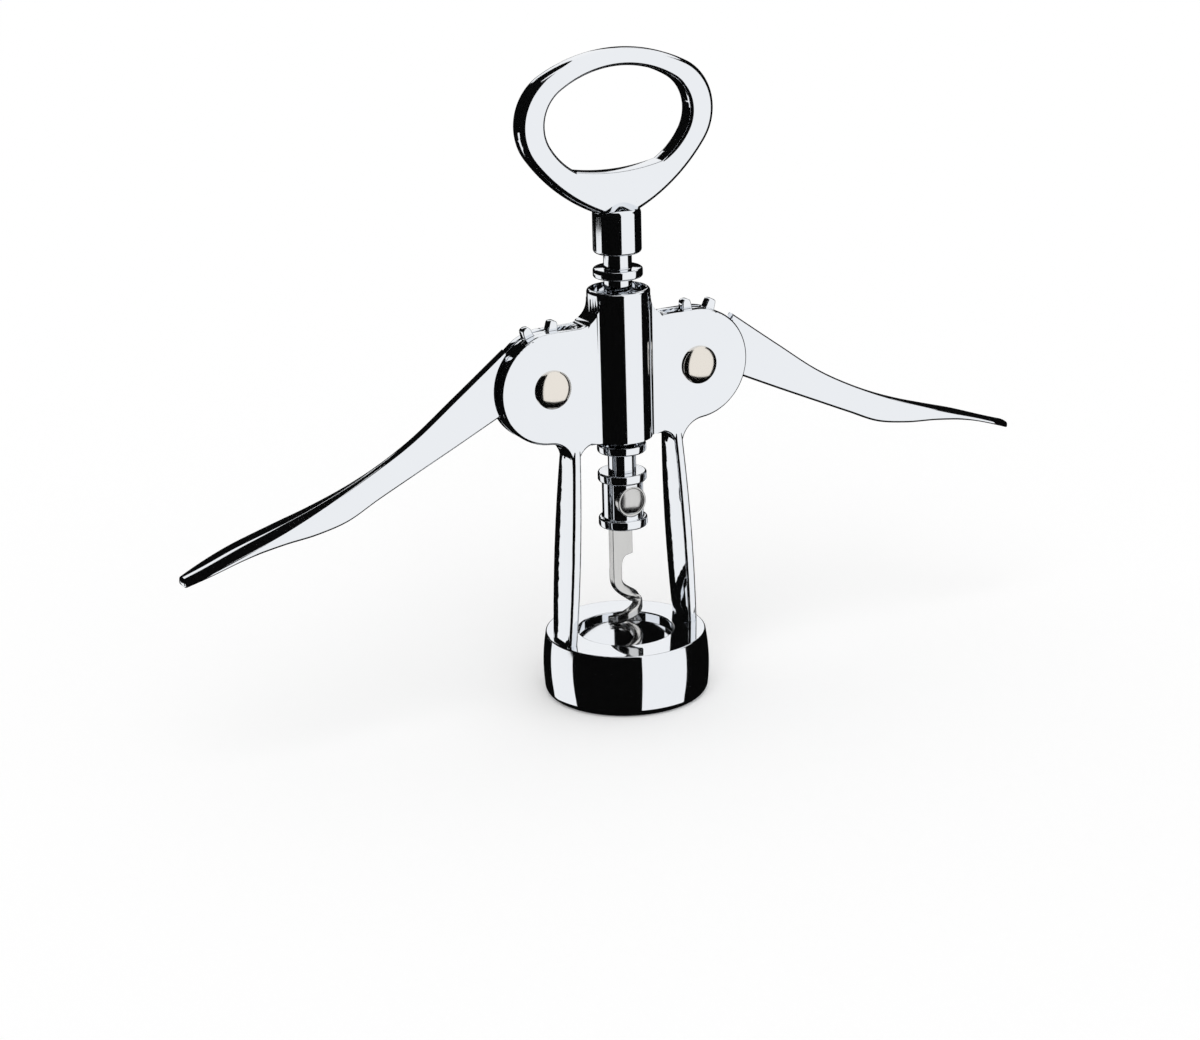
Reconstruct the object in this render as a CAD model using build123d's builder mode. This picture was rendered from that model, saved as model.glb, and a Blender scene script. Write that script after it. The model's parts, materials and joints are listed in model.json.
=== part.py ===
"""Lever corkscrew with a ring handle, two geared levers and a ring rack.

Millimetres, +Z up. The origin is the centre of the bell's lower rim, the front faces -Y and
the levers reach out along X. The levers stand a little below level, half way through a pull:
the geared heads run in slots between the cheeks and mesh with the discs of the rack, so the
rack, the handle and the worm rise as the levers go down.
"""
import os
from math import cos, pi, radians, sin, sqrt

from build123d import *

# Bell that sits on the bottle's mouth
bell_height = 15.7
bell_radius = 20.5
bell_widest_height = 9.1
bell_rim_radius = 19.7
bell_low_radius = 20.0
bell_low_height = 3.1
bell_foot_radius = 18.3
bell_plate = 2.7
cork_hole_radius = 11.7
mouth_radius = 15.4
mouth_chamfer = 0.8
bell_edge = 0.3

# Cast frame: barrel, cheeks and legs
pivot_half_span = 19.9
pivot_height = 80.8
lobe_radius = 13.6
cheek_bottom = 68.5
cheek_depth = 7.0
cheek_edge = 0.7
slot_width = 2.7
slot_clearance = 0.6
barrel_radius = 7.6
bore_radius = 6.45
barrel_bottom = 65.4
barrel_top = 102.0
barrel_rim_round = 0.7
saddle_top = 99.9
saddle_fillet = 5.5
web_reach = 10.0
barrel_fillet = 1.2
leg_thickness = 2.1
leg_top_x = 14.75
leg_foot_x = 17.85
leg_stub_height = 60.5
leg_inner_fillet = 4.0
leg_outer_fillet = 6.0
leg_edge = 0.8
# Cross-sections of a leg: height, depth and bulge of its two sides
leg_sections = [
    (15.7, 9.0, 0.5),
    (57.0, 8.6, 0.4),
    (67.0, 6.8, 0.1),
]

# Rack of discs and the rod that it turns on
rack_pitch = 7.2
disc_count = 7
disc_radius = 5.95
disc_thickness = 2.2
disc_edge = 0.35
first_disc_height = 62.7
neck_radius = 3.4
rod_radius = 2.0
rod_socket = 7.0
running_gap = 0.05

# Handle ring with its bottle opener lip, and the collar below it
collar_radius = 5.8
collar_bottom = 110.7
collar_top = 121.2
collar_edge = 0.8
ring_depth = 5.2
ring_edge = 1.7
ring_top = 158.8
ring_crown_radius = 40.5
ring_crown_sweep = 27.6
ring_side_radius = 13.0
ring_side_sweep = 98.3
ring_foot_half_width = 4.6
ring_foot_height = 120.2
hole_edge = 0.6
hole_top = 154.8
hole_crown_radius = 28.0
hole_crown_sweep = 31.9
hole_side_radius = 9.3
hole_side_sweep = 89.3
lip_half_width = 11.3
lip_corner_height = 131.5
lip_dip = 1.2
lip_round = 1.0

# Levers: pegged gear sector, plate and paddle, drawn from the pivot of the right lever
lever_thickness = 2.4
tooth_step = 26.6
tooth_count = 8
first_tooth_angle = 70.2
tooth_tip_radius = 16.0
tooth_root_radius = 13.55
tooth_root_width = 2.5
tooth_tip_width = 1.8
tooth_tip_round = 0.6
tooth_embed = 1.0
# Side view of the plate between the head and the paddle, from the pivot: inside the head, at the
# head's rim above, and at the rim below
plate_root = (6.0, 4.0)
plate_shoulder = (10.7, 10.8)
plate_heel = (13.8, -5.7)
# Cross-sections of the lever from the plate to the tip: distance out from the pivot, crown and
# underside above the pivot, half width and rise of the crowned top
paddle_sections = [
    (36.0, -7.6, -16.0, 1.2, 0.02),
    (45.0, -12.6, -20.1, 1.3, 0.05),
    (53.0, -16.3, -23.6, 2.0, 0.1),
    (61.0, -19.4, -25.0, 3.1, 0.2),
    (70.0, -22.4, -25.5, 4.4, 0.3),
    (80.0, -25.5, -27.1, 4.8, 0.4),
    (89.0, -28.7, -30.1, 3.7, 0.3),
    (93.7, -30.2, -32.0, 2.2, 0.25),
]

# Pivot rivets
rivet_radius = 2.5
rivet_head_radius = 4.65
rivet_head_height = 1.7

# Chuck, its pin and the worm
chuck_bottom = 42.8
chuck_top = 56.6
chuck_flange = 2.3
chuck_radius = 5.0
pin_height = 49.8
pin_radius = 1.5
pin_head_radius = 3.8
pin_dome_radius = 3.2
pin_front = 5.4
pin_rim_front = 4.85
pin_rim_edge = 0.2
pin_groove = 4.65
pin_back = 4.85
tang_left = -3.6
tang_right = 1.9
tang_thickness = 2.3
tang_top = 52.4
tang_step_height = 35.0
tang_step_rise = 0.3
tang_step_width = 1.6
tang_step_round = 3.2
step_hollow = 0.7
step_hollow_drop = 1.1
shank_overlap = 1.0
wire_radius = 1.2
worm_radius = 3.1
worm_pitch = 9.2
worm_turns = 2.5
worm_steps = 10
worm_start_angle = 130.0
worm_start_height = 26.2
worm_bend_height = 29.6
point_length = 4.0
point_taper = 16.0

# Half height of the bands that corners and edges are picked from, fine for those at one level and
# coarse for those on a slope
level_band = 0.1
slope_band = 1.5

os.makedirs("parts", exist_ok=True)


# Frame: barrel, two slotted cheeks and two flaring legs in one casting
cheek_top = pivot_height + lobe_radius
slot_radius = tooth_tip_radius + slot_clearance
pivots = [(-pivot_half_span, pivot_height), (pivot_half_span, pivot_height)]
leg_slope = (leg_foot_x - leg_top_x) / (cheek_bottom - bell_height)
# Half width of the barrel where the flat faces of the cheeks cut it
web_half_width = sqrt(barrel_radius**2 - (cheek_depth / 2) ** 2)


def leg_outside(height):
    """Distance from the middle to the outer side of a leg."""
    return leg_top_x + leg_slope * (cheek_bottom - height)


with BuildSketch() as casting:
    with Locations(*pivots):
        Circle(lobe_radius)
    with Locations((0, (cheek_bottom + cheek_top) / 2)):
        Rectangle(2 * pivot_half_span, cheek_top - cheek_bottom)
    with BuildLine():
        Polyline(
            (0, cheek_bottom),
            (leg_outside(cheek_bottom), cheek_bottom),
            (leg_outside(leg_stub_height), leg_stub_height),
            (leg_outside(leg_stub_height) - leg_thickness, leg_stub_height),
            (leg_outside(barrel_bottom) - leg_thickness, barrel_bottom),
            (0, barrel_bottom),
        )
        mirror(about=Plane.YZ)
    make_face()
    inner_low, inner_high = barrel_bottom - level_band, barrel_bottom + level_band
    fillet(vertices().filter_by_position(Axis.Y, inner_low, inner_high), leg_inner_fillet)
    outer_low, outer_high = cheek_bottom - slope_band, cheek_bottom + level_band
    fillet(vertices().filter_by_position(Axis.Y, outer_low, outer_high), leg_outer_fillet)
    with Locations((0, (barrel_bottom + saddle_top) / 2)):
        Rectangle(2 * web_half_width, saddle_top - barrel_bottom)
    saddle_corners = vertices().filter_by_position(Axis.Y, cheek_top - level_band, cheek_top + level_band)
    fillet(saddle_corners.filter_by_position(Axis.X, -barrel_radius, barrel_radius), saddle_fillet)

# Barrel with the web on either side of it, in hollow rounds on its front and back
with BuildPart() as barrel:
    with BuildSketch(Plane.XY.offset(barrel_bottom)):
        Circle(barrel_radius)
        Rectangle(2 * web_reach, cheek_depth)
        fillet(vertices().filter_by_position(Axis.X, -barrel_radius, barrel_radius), barrel_fillet)
    extrude(amount=barrel_top - barrel_bottom)
    with BuildSketch(Plane.XZ):
        add(casting.sketch)
    extrude(amount=barrel_radius, both=True, mode=Mode.INTERSECT)
    with BuildSketch(Plane.XY.offset(barrel_bottom)):
        Circle(barrel_radius)
    extrude(amount=barrel_top - barrel_bottom)
    rim_edge = edges().filter_by(GeomType.CIRCLE).sort_by(Axis.Z)[-1]
    fillet(rim_edge, barrel_rim_round)

with BuildPart() as legs:
    for height, depth, bulge in leg_sections:
        with BuildSketch(Plane.XY.offset(height)):
            with BuildLine():
                outside = leg_outside(height)
                inside = outside - leg_thickness
                outer_side = ThreePointArc(
                    (outside, -depth / 2), (outside + bulge, 0), (outside, depth / 2)
                )
                inner_side = ThreePointArc(
                    (inside, depth / 2), (inside - bulge, 0), (inside, -depth / 2)
                )
                Line(outer_side @ 1, inner_side @ 0)
                Line(inner_side @ 1, outer_side @ 0)
            make_face()
            fillet(vertices(), leg_edge)
    loft()
    mirror(about=Plane.YZ)

with BuildPart() as frame:
    with BuildSketch(Plane.XZ):
        add(casting.sketch)
    extrude(amount=cheek_depth / 2, both=True)
    for cheek in (faces().sort_by(Axis.Y)[0], faces().sort_by(Axis.Y)[-1]):
        fillet(cheek.outer_wire().edges(), cheek_edge)
    add(legs.part)
    add(barrel.part)
    with BuildSketch(Plane.XY.offset(barrel_bottom)):
        Circle(bore_radius)
    extrude(amount=barrel_top - barrel_bottom, mode=Mode.SUBTRACT)
    # Slots that the geared heads of the levers turn in, open to the bore and to the outside
    with BuildSketch(Plane.XZ):
        with Locations(*pivots):
            Circle(slot_radius)
    extrude(amount=slot_width / 2, both=True, mode=Mode.SUBTRACT)
    with BuildSketch(Plane.XZ):
        with Locations(*pivots):
            Circle(rivet_radius)
    extrude(amount=cheek_depth, both=True, mode=Mode.SUBTRACT)
frame.part.label = "frame"
export_step(frame.part, "parts/frame.step")


# Bell: a turned ring with a flat top, a cork hole and a socket for the bottle's mouth
with BuildPart() as bell:
    with BuildSketch(Plane.XZ):
        with BuildLine():
            side = ThreePointArc(
                (bell_rim_radius, bell_height),
                (bell_radius, bell_widest_height),
                (bell_low_radius, bell_low_height),
            )
            foot = TangentArc(side @ 1, (bell_foot_radius, 0), tangent=side % 1)
            Polyline(
                foot @ 1,
                (mouth_radius + mouth_chamfer, 0),
                (mouth_radius, mouth_chamfer),
                (mouth_radius, bell_height - bell_plate),
                (cork_hole_radius, bell_height - bell_plate),
                (cork_hole_radius, bell_height),
                side @ 0,
            )
        make_face()
    revolve(axis=Axis.Z)
    round_edges = edges().filter_by(GeomType.CIRCLE)
    top_edges = round_edges.filter_by_position(Axis.Z, bell_height - level_band, bell_height + level_band)
    chamfer(top_edges, bell_edge)
bell.part.label = "bell"
export_step(bell.part, "parts/bell.step")


# Levers: a pegged gear sector and a plate that widens into a paddle, the left one mirrored
def lever_point(x, z):
    """Place a point given from the right lever's pivot, in the frame's XZ plane."""
    return (pivot_half_span + x, pivot_height + z)


# One tooth of the gear sector, drawn from the pivot: a tapered peg with a rounded tip
peg_shoulder = tooth_tip_radius - tooth_tip_round
sector_span = tooth_step * (tooth_count - 1)

with BuildSketch() as peg:
    with BuildLine():
        peg_sides = Polyline(
            (peg_shoulder, tooth_tip_width / 2),
            (tooth_root_radius - tooth_embed, tooth_root_width / 2),
            (tooth_root_radius - tooth_embed, -tooth_root_width / 2),
            (peg_shoulder, -tooth_tip_width / 2),
        )
        ThreePointArc(peg_sides @ 1, (tooth_tip_radius, 0), peg_sides @ 0)
    make_face()

with BuildPart() as right_lever:
    for out_x, crown_z, under_z, half_width, crown_rise in paddle_sections:
        with BuildSketch(Plane.YZ.offset(pivot_half_span + out_x)):
            with BuildLine():
                edge_z = pivot_height + crown_z - crown_rise
                sides = Polyline(
                    (-half_width, edge_z),
                    (-half_width, pivot_height + under_z),
                    (half_width, pivot_height + under_z),
                    (half_width, edge_z),
                )
                ThreePointArc(sides @ 1, (0, pivot_height + crown_z), sides @ 0)
            make_face()
    loft()
    with BuildSketch(Plane.XZ):
        with BuildLine():
            plate_end_x, plate_end_top, plate_end_under = paddle_sections[0][:3]
            Polyline(
                lever_point(*plate_root),
                lever_point(*plate_shoulder),
                lever_point(plate_end_x, plate_end_top),
                lever_point(plate_end_x, plate_end_under),
                lever_point(*plate_heel),
                close=True,
            )
        make_face()
    extrude(amount=lever_thickness / 2, both=True)
    with BuildSketch(Plane.XZ):
        with Locations(pivots[1]):
            Circle(tooth_root_radius)
            with PolarLocations(0, tooth_count, first_tooth_angle, sector_span, endpoint=True):
                add(peg.sketch)
    extrude(amount=lever_thickness / 2, both=True)
    with BuildSketch(Plane.XZ):
        with Locations(pivots[1]):
            Circle(rivet_radius + running_gap)
    extrude(amount=lever_thickness, both=True, mode=Mode.SUBTRACT)
right_lever.part.label = "right_lever"
export_step(right_lever.part, "parts/right_lever.step")

with BuildPart() as left_lever:
    mirror(right_lever.part, about=Plane.YZ)
left_lever.part.label = "left_lever"
export_step(left_lever.part, "parts/left_lever.step")


# Pivot rivets: a plain shank through both cheeks with a low domed head on each face
cheek_face = cheek_depth / 2
head_top = cheek_face + rivet_head_height
dome_radius = (rivet_head_radius**2 + rivet_head_height**2) / (2 * rivet_head_height)

for side_name, rivet_x in (("left", -pivot_half_span), ("right", pivot_half_span)):
    with BuildPart() as pivot_rivet:
        with BuildSketch(Plane.XY.offset(pivot_height)):
            with BuildLine():
                RadiusArc((rivet_x, head_top), (rivet_x + rivet_head_radius, cheek_face), dome_radius)
                Polyline(
                    (rivet_x + rivet_head_radius, cheek_face),
                    (rivet_x + rivet_radius, cheek_face),
                    (rivet_x + rivet_radius, -cheek_face),
                    (rivet_x + rivet_head_radius, -cheek_face),
                )
                RadiusArc((rivet_x + rivet_head_radius, -cheek_face), (rivet_x, -head_top), dome_radius)
                Line((rivet_x, -head_top), (rivet_x, head_top))
            make_face()
        revolve(axis=Axis((rivet_x, 0, pivot_height), (0, 1, 0)))
    pivot_rivet.part.label = side_name + "_pivot_rivet"
    export_step(pivot_rivet.part, "parts/" + side_name + "_pivot_rivet.step")


# Rack: a sleeve with a row of discs that both geared heads work on, free to turn on the rod
rack_bottom = chuck_top + running_gap
rack_top = collar_bottom - running_gap

with BuildPart() as rack_spindle:
    with BuildSketch(Plane.XY.offset(rack_bottom)):
        Circle(neck_radius)
    extrude(amount=rack_top - rack_bottom)
    for disc in range(disc_count):
        disc_bottom = first_disc_height + disc * rack_pitch - disc_thickness / 2
        with BuildSketch(Plane.XY.offset(disc_bottom)):
            Circle(disc_radius)
        extrude(amount=disc_thickness)
    round_edges = edges().filter_by(GeomType.CIRCLE)
    chamfer(round_edges.filter_by(lambda edge: edge.radius > neck_radius + disc_edge), disc_edge)
    with BuildSketch(Plane.XY.offset(rack_bottom)):
        Circle(rod_radius + running_gap)
    extrude(amount=rack_top - rack_bottom, mode=Mode.SUBTRACT)
rack_spindle.part.label = "rack_spindle"
export_step(rack_spindle.part, "parts/rack_spindle.step")


# Handle: an egg-shaped ring with a bottle opener lip, on a round collar
with BuildPart() as handle_ring:
    with BuildSketch(Plane.XZ):
        with BuildLine():
            crown = JernArc((0, ring_top), (1, 0), ring_crown_radius, -ring_crown_sweep)
            side = JernArc(crown @ 1, crown % 1, ring_side_radius, -ring_side_sweep)
            flank = TangentArc(side @ 1, (ring_foot_half_width, ring_foot_height), tangent=side % 1)
            Line(flank @ 1, (0, ring_foot_height))
            mirror(about=Plane.YZ)
        make_face()
        with BuildLine():
            crown = JernArc((0, hole_top), (1, 0), hole_crown_radius, -hole_crown_sweep)
            side = JernArc(crown @ 1, crown % 1, hole_side_radius, -hole_side_sweep)
            TangentArc(side @ 1, (lip_half_width, lip_corner_height), tangent=side % 1)
            mirror(about=Plane.YZ)
            ThreePointArc(
                (lip_half_width, lip_corner_height),
                (0, lip_corner_height - lip_dip),
                (-lip_half_width, lip_corner_height),
            )
        make_face(mode=Mode.SUBTRACT)
        lip_reach = lip_half_width + level_band
        lip_low = lip_corner_height - level_band
        lip_high = lip_corner_height + level_band
        lip_corners = vertices().filter_by_position(Axis.Y, lip_low, lip_high)
        fillet(lip_corners.filter_by_position(Axis.X, -lip_reach, lip_reach), lip_round)
    extrude(amount=ring_depth / 2, both=True)
    for ring_face in (faces().sort_by(Axis.Y)[0], faces().sort_by(Axis.Y)[-1]):
        fillet(ring_face.outer_wire().edges(), ring_edge)
    for ring_face in (faces().sort_by(Axis.Y)[0], faces().sort_by(Axis.Y)[-1]):
        chamfer(ring_face.inner_wires()[0].edges(), hole_edge)
    with BuildSketch(Plane.XY.offset(collar_bottom)):
        Circle(collar_radius)
    extrude(amount=collar_top - collar_bottom)
    round_edges = edges().filter_by(GeomType.CIRCLE)
    fillet(round_edges.sort_by(Axis.Z)[0], collar_edge)
    with BuildSketch(Plane.XY.offset(collar_bottom)):
        Circle(rod_radius)
    extrude(amount=rod_socket, mode=Mode.SUBTRACT)
handle_ring.part.label = "handle_ring"
export_step(handle_ring.part, "parts/handle_ring.step")


# Drive rod: carries the turn of the handle through the rack to the chuck
with BuildPart() as drive_rod:
    with BuildSketch(Plane.XY.offset(tang_top)):
        Circle(rod_radius)
    extrude(amount=collar_bottom + rod_socket - tang_top)
drive_rod.part.label = "drive_rod"
export_step(drive_rod.part, "parts/drive_rod.step")


# Chuck: a spool with two flanges, slotted from below for the worm's tang and drilled for its pin
pin_seat = sqrt(chuck_radius**2 - pin_head_radius**2)

with BuildPart() as worm_chuck:
    with BuildSketch(Plane.XY.offset(chuck_bottom)):
        Circle(chuck_radius)
    extrude(amount=chuck_top - chuck_bottom)
    for flange_bottom in (chuck_bottom, chuck_top - chuck_flange):
        with BuildSketch(Plane.XY.offset(flange_bottom)):
            Circle(disc_radius)
        extrude(amount=chuck_flange)
    round_edges = edges().filter_by(GeomType.CIRCLE)
    chamfer(round_edges.filter_by(lambda edge: edge.radius > chuck_radius + disc_edge), disc_edge)
    with BuildSketch(Plane.XY.offset(tang_top)):
        Circle(rod_radius)
    extrude(amount=chuck_top - tang_top, mode=Mode.SUBTRACT)
    with BuildSketch(Plane.XY.offset(chuck_bottom)):
        with Locations(((tang_left + tang_right) / 2, 0)):
            Rectangle(tang_right - tang_left, tang_thickness)
    extrude(amount=tang_top - chuck_bottom, mode=Mode.SUBTRACT)
    with BuildSketch(Plane.XZ):
        with Locations((0, pin_height)):
            Circle(pin_radius)
    extrude(amount=2 * chuck_radius, both=True, mode=Mode.SUBTRACT)
    with BuildSketch(Plane.XZ.offset(pin_seat)):
        with Locations((0, pin_height)):
            Circle(pin_head_radius)
    extrude(amount=chuck_radius, mode=Mode.SUBTRACT)
worm_chuck.part.label = "worm_chuck"
export_step(worm_chuck.part, "parts/worm_chuck.step")


# Chuck pin: a domed head with a raised rim in front, a plain end at the back
with BuildPart() as worm_pin:
    with BuildSketch(Plane.XY.offset(pin_height)):
        with BuildLine():
            dome = TangentArc((0, -pin_front), (pin_dome_radius, -pin_groove), tangent=(1, 0))
            Polyline(
                dome @ 1,
                (pin_dome_radius, -pin_rim_front),
                (pin_head_radius - pin_rim_edge, -pin_rim_front),
                (pin_head_radius, pin_rim_edge - pin_rim_front),
                (pin_head_radius, -pin_seat),
                (pin_radius, -pin_seat),
                (pin_radius, pin_back),
                (0, pin_back),
                (0, -pin_front),
            )
        make_face()
    revolve(axis=Axis((0, 0, pin_height), (0, 1, 0)))
worm_pin.part.label = "worm_pin"
export_step(worm_pin.part, "parts/worm_pin.step")


# Worm: a flat tang stepped down to one edge, bent into an open right-hand helix with a point
def worm_node(turn):
    """Point and downward direction of the wire's centre line after a number of turns."""
    angle = radians(worm_start_angle - 360 * turn)
    point = Vector(worm_radius * cos(angle), worm_radius * sin(angle), worm_start_height - worm_pitch * turn)
    fall = worm_pitch / (2 * pi)
    direction = Vector(worm_radius * sin(angle), -worm_radius * cos(angle), -fall).normalized()
    return point, direction


def arc_joint(start, start_way, end, end_way):
    """Joint and direction where two arcs meet that leave start and reach end in given directions."""
    chord = end - start
    ways = start_way + end_way
    spread = 2 - 2 * start_way.dot(end_way)
    along = chord.dot(ways)
    reach = (sqrt(along**2 + spread * chord.dot(chord)) - along) / spread
    first_corner = start + start_way * reach
    second_corner = end - end_way * reach
    return (first_corner + second_corner) * 0.5, (second_corner - first_corner).normalized()


shank_x = tang_left + wire_radius
shank_right = tang_left + 2 * wire_radius
shank_top = Vector(shank_x, 0, tang_step_height)
shank_bottom = Vector(shank_x, 0, worm_bend_height)
nodes = [(shank_bottom, Vector(0, 0, -1))]
nodes += [worm_node(worm_turns * step / worm_steps) for step in range(worm_steps + 1)]

with BuildPart() as worm:
    with BuildLine() as wire_path:
        Line(shank_top, shank_bottom)
        for (start, start_way), (end, end_way) in zip(nodes, nodes[1:]):
            joint, joint_way = arc_joint(start, start_way, end, end_way)
            TangentArc(start, joint, tangent=start_way)
            TangentArc(joint, end, tangent=joint_way)
    with BuildSketch(Plane(shank_top, z_dir=(0, 0, -1))):
        Circle(wire_radius)
    sweep()
    with BuildSketch(Plane(nodes[-1][0], z_dir=nodes[-1][1])):
        Circle(wire_radius)
    extrude(amount=point_length, taper=point_taper)
    with BuildSketch(Plane.XZ):
        with BuildLine():
            step_curve = ThreePointArc(
                (tang_right - tang_step_width, tang_step_height),
                (shank_right + step_hollow, tang_step_height - step_hollow_drop),
                (shank_right, tang_step_height - tang_step_round),
            )
            Polyline(
                step_curve @ 0,
                (tang_right, tang_step_height + tang_step_rise),
                (tang_right, tang_top),
                (tang_left, tang_top),
                (tang_left, worm_bend_height + shank_overlap),
                (shank_right, worm_bend_height + shank_overlap),
                step_curve @ 1,
            )
        make_face()
    extrude(amount=tang_thickness / 2, both=True)
    with BuildSketch(Plane.XZ):
        with Locations((0, pin_height)):
            Circle(pin_radius)
    extrude(amount=tang_thickness, both=True, mode=Mode.SUBTRACT)
worm.part.label = "worm"
export_step(worm.part, "parts/worm.step")
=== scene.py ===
import json
import math

import bmesh
import bpy
import numpy as np
from bpy.props import FloatProperty, FloatVectorProperty, PointerProperty
from mathutils import Matrix, Vector


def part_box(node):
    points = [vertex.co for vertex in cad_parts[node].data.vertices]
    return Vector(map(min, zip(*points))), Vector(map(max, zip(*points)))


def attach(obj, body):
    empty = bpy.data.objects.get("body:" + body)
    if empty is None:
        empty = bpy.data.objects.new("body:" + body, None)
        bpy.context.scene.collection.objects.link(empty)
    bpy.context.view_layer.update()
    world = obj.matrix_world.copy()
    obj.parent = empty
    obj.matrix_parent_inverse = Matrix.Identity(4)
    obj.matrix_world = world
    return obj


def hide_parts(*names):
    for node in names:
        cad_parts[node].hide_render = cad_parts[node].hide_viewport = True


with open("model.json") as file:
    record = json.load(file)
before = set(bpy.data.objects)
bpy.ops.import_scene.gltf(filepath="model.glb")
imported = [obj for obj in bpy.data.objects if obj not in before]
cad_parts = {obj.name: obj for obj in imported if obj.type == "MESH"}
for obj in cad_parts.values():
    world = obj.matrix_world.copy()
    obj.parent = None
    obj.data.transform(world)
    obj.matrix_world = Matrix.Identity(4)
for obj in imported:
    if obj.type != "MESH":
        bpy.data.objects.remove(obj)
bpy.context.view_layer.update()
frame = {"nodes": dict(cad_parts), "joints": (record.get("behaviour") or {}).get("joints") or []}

bl_info = {
    "name": "Lever corkscrew",
    "version": (1, 0, 0),
    "blender": (4, 5, 0),
    "location": "3D View > Sidebar > Corkscrew",
    "description": "Dresses the packed lever corkscrew with smooth surfaces, finishes and a studio",
    "category": "Add Mesh",
}

MM = 0.001


def packed_box(node):
    """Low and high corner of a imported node's box, in millimetres."""
    return [np.array(corner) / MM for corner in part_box(node)]


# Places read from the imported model, in millimetres
BELL_HIGH = packed_box("bell")[1]
RACK_LOW, RACK_HIGH = packed_box("rack_spindle")
CHUCK_LOW, CHUCK_HIGH = packed_box("worm_chuck")
PIN_LOW, PIN_HIGH = packed_box("worm_pin")
RIVET_HIGH = packed_box("right_pivot_rivet")[1]
WORM_LOW = packed_box("worm")[0]
JOINTS = {joint["name"]: joint for joint in frame["joints"]}
PIVOT = np.array(JOINTS["right_lever_swing"]["pos_m"]) / MM


# Outlines and grids that the pieces share
def unit_rows(rows):
    """Each row divided by its length."""
    return rows / np.linalg.norm(rows, axis=-1, keepdims=True)


def rounded(corners, radii, steps=6):
    """Closed outlines whose corners are arcs.

    An arc of radius r touches both sides at r / tan(half the corner's angle) from the corner, and its
    points are the first touch point turned about the arc's centre by equal steps.
    """
    corners = np.asarray(corners, float)
    radii = np.broadcast_to(np.asarray(radii, float), corners.shape[:-1])[..., None]
    back = unit_rows(np.roll(corners, 1, axis=-2) - corners)
    ahead = unit_rows(np.roll(corners, -1, axis=-2) - corners)
    half = 0.5 * np.arccos(np.clip((back * ahead).sum(-1, keepdims=True), -1, 1))
    centre = corners + unit_rows(back + ahead) * radii / np.sin(half)
    arm = corners + back * radii / np.tan(half) - centre
    other = corners + ahead * radii / np.tan(half) - centre
    cross = arm[..., 0] * other[..., 1] - arm[..., 1] * other[..., 0]
    turn = np.arctan2(cross, (arm * other).sum(-1))
    angle = turn[..., None] * np.linspace(0, 1, steps + 1)
    x = arm[..., :1] * np.cos(angle) - arm[..., 1:] * np.sin(angle)
    y = arm[..., :1] * np.sin(angle) + arm[..., 1:] * np.cos(angle)
    return (centre[..., None, :] + np.stack([x, y], -1)).reshape(*corners.shape[:-2], -1, 2)


def cubic_through(at, places, values):
    """Cubic through the given values, with each slope taken from the places on either side."""
    places = np.asarray(places, float)
    values = np.asarray(values, float)
    slopes = np.gradient(values, places, axis=0)
    span = np.clip(np.searchsorted(places, at, side="right") - 1, 0, len(places) - 2)
    width = places[span + 1] - places[span]
    t = (at - places[span]) / width
    shape = (-1,) + (1,) * (values.ndim - 1)
    t, width = t.reshape(shape), width.reshape(shape)
    start = (1 + 2 * t) * (1 - t) ** 2 * values[span] + t * (1 - t) ** 2 * width * slopes[span]
    end = t * t * (3 - 2 * t) * values[span + 1] + t * t * (t - 1) * width * slopes[span + 1]
    return start + end


def right_of(heading):
    """Direction to the right of a heading, given in radians from X towards Z."""
    return np.stack([np.sin(heading), -np.cos(heading)], -1)


def egg(top, crown, side, end, steps=120):
    """Right half of an egg outline from its top.

    A crown arc and a side arc, each of a radius and a sweep, are followed by the one arc that leaves tangent
    to them and reaches the end. An arc's points are its centre less its radius times the direction to the
    right of the heading, which turns by equal steps.
    """
    point, heading, runs = np.array([0.0, top]), 0.0, []
    for radius, sweep in (crown, side, (None, None)):
        if radius is None:
            chord = np.array(end) - point
            across = chord @ right_of(heading)
            along = chord @ right_of(heading + np.pi / 2)
            radius = chord @ chord / (2 * across)
            sweep = math.degrees(2 * math.atan2(across, along))
        headings = heading - np.radians(sweep) * np.linspace(0, 1, steps)
        runs.append(point + radius * (right_of(heading) - right_of(headings)))
        point, heading = runs[-1][-1], headings[-1]
    return np.concatenate(runs)


def lathe(profile, sides):
    """Profile of (radius, height) turned about Z: x = r cos t, y = r sin t, z = height."""
    t = np.linspace(0, 2 * np.pi, sides, endpoint=False)[:, None]
    radius, height = profile[:, 0], profile[:, 1]
    return np.stack([radius * np.cos(t), radius * np.sin(t), height + 0 * t], -1)


def facing_front(grid, x, z):
    """A turned grid laid down so that its axis runs along Y, with its centre at x and z."""
    return np.stack([x + grid[..., 0], grid[..., 2], z + grid[..., 1]], -1)


def grid_quads(rows, columns, wrap_rows, wrap_columns):
    """Corner indices of the quads of a grid, joined end to end where it wraps."""
    row = np.arange(rows if wrap_rows else rows - 1)[:, None]
    column = np.arange(columns if wrap_columns else columns - 1)[None, :]
    next_row, next_column = (row + 1) % rows, (column + 1) % columns
    corners = [(row, column), (next_row, column), (next_row, next_column), (row, next_column)]
    return np.stack([(r * columns + c).ravel() for r, c in corners], -1)


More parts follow.
